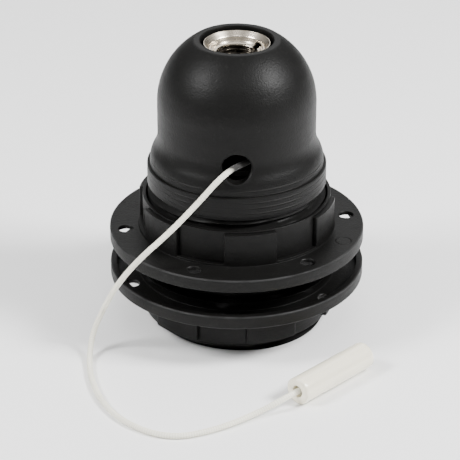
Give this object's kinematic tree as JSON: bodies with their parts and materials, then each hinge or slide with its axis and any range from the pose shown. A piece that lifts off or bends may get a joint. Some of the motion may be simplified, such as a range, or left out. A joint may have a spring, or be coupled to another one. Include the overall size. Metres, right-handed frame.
{
  "type": "lamp holder",
  "caption": "Pull-switch lamp holder with a domed moulded cap, threaded tube entry, outside-threaded skirt, two screwed shade rings and a braided pull cord with a turned pull.",
  "frame": {"origin": "on the holder's axis, in the plane of the skirt's open end, on which it stands", "axes": "+Z along the axis from the lamp's mouth to the tube entry; the cord leaves the cap towards -Y"},
  "size_m": [0.063, 0.0851, 0.0664],
  "materials": {
    "black_plastic": "fine satin moulded grain",
    "nickel_plate": "satin nickel plate",
    "blued_steel": "oiled black steel",
    "insulator": "moulded off-white insulator",
    "brass": "turned brass",
    "spring_bronze": "rolled spring bronze",
    "plated_steel": "zinc plated steel",
    "spring_wire": "drawn spring wire",
    "white_nylon": "moulded nylon",
    "braided_cord": "white braided polyester",
    "ivory_plastic": "polished ivory moulding"
  },
  "bodies": {
    "holder": {"cap": "black_plastic", "entry_bush": "nickel_plate", "entry_lock_screw": "blued_steel", "threaded_sleeve": "black_plastic", "contact_block": "insulator", "screw_shell": "nickel_plate", "shell_rivets": "brass", "contact_rivet": "brass", "terminal_left": "brass", "terminal_right": "brass", "terminal_screw_left": "plated_steel", "terminal_screw_right": "plated_steel", "switch_frame": "insulator", "frame_screws": "plated_steel", "lever_pin": "plated_steel", "return_spring": "spring_wire", "contact_post": "brass", "fixed_contact": "brass"},
    "upper_ring": {"upper_shade_ring": "black_plastic"},
    "lower_ring": {"lower_shade_ring": "black_plastic"},
    "lamp_tongue": {"centre_contact": "spring_bronze"},
    "cord": {"pull_cord": "braided_cord", "cord_ferrule": "plated_steel", "cord_pull": "ivory_plastic"},
    "lever": {"pull_lever": "plated_steel"},
    "ratchet": {"ratchet_wheel": "white_nylon"},
    "blade": {"moving_contact": "spring_bronze"}
  },
  "joints": [
    {"name": "upper_ring_travel", "type": "slide", "parent": "holder", "child": "upper_ring", "axis": [0, 0, 1], "range_m": [-0.0025, 0.0025]},
    {"name": "lower_ring_travel", "type": "slide", "parent": "holder", "child": "lower_ring", "axis": [0, 0, 1], "range_m": [-0.0025, 0.0025]},
    {"name": "lamp_tongue_press", "type": "hinge", "parent": "holder", "child": "lamp_tongue", "pos_m": [-0.005, 0, 0.02735], "axis": [0, -1, 0], "range_deg": [0, 5], "stiffness_Nm_per_rad": 0.3, "springref_deg": -2.86},
    {"name": "cord_pull_travel", "type": "slide", "parent": "holder", "child": "cord", "axis": [-0.7234, -0.6904, 0], "range_m": [0, 0.0052], "stiffness_N_per_m": 400, "springref_m": -0.002},
    {"name": "lever_turn", "type": "hinge", "parent": "holder", "child": "lever", "pos_m": [0.0001, -0.00263, 0.0459], "axis": [0, 0, -1], "range_deg": [0, 30]},
    {"name": "ratchet_turn", "type": "hinge", "parent": "holder", "child": "ratchet", "pos_m": [0.0001, -0.00263, 0.0477], "axis": [0, 0, -1], "range_deg": [0, 30]},
    {"name": "blade_lift", "type": "hinge", "parent": "holder", "child": "blade", "pos_m": [-0.00365, 0.0096, 0.0495], "axis": [0, 0, -1], "range_deg": [0, 3]}
  ],
  "couplings": [
    {"joint": "lever_turn", "follows": "cord_pull_travel", "rad_per_m": 100},
    {"joint": "ratchet_turn", "follows": "cord_pull_travel", "rad_per_m": 100},
    {"joint": "blade_lift", "follows": "cord_pull_travel", "rad_per_m": 9.6}
  ]
}
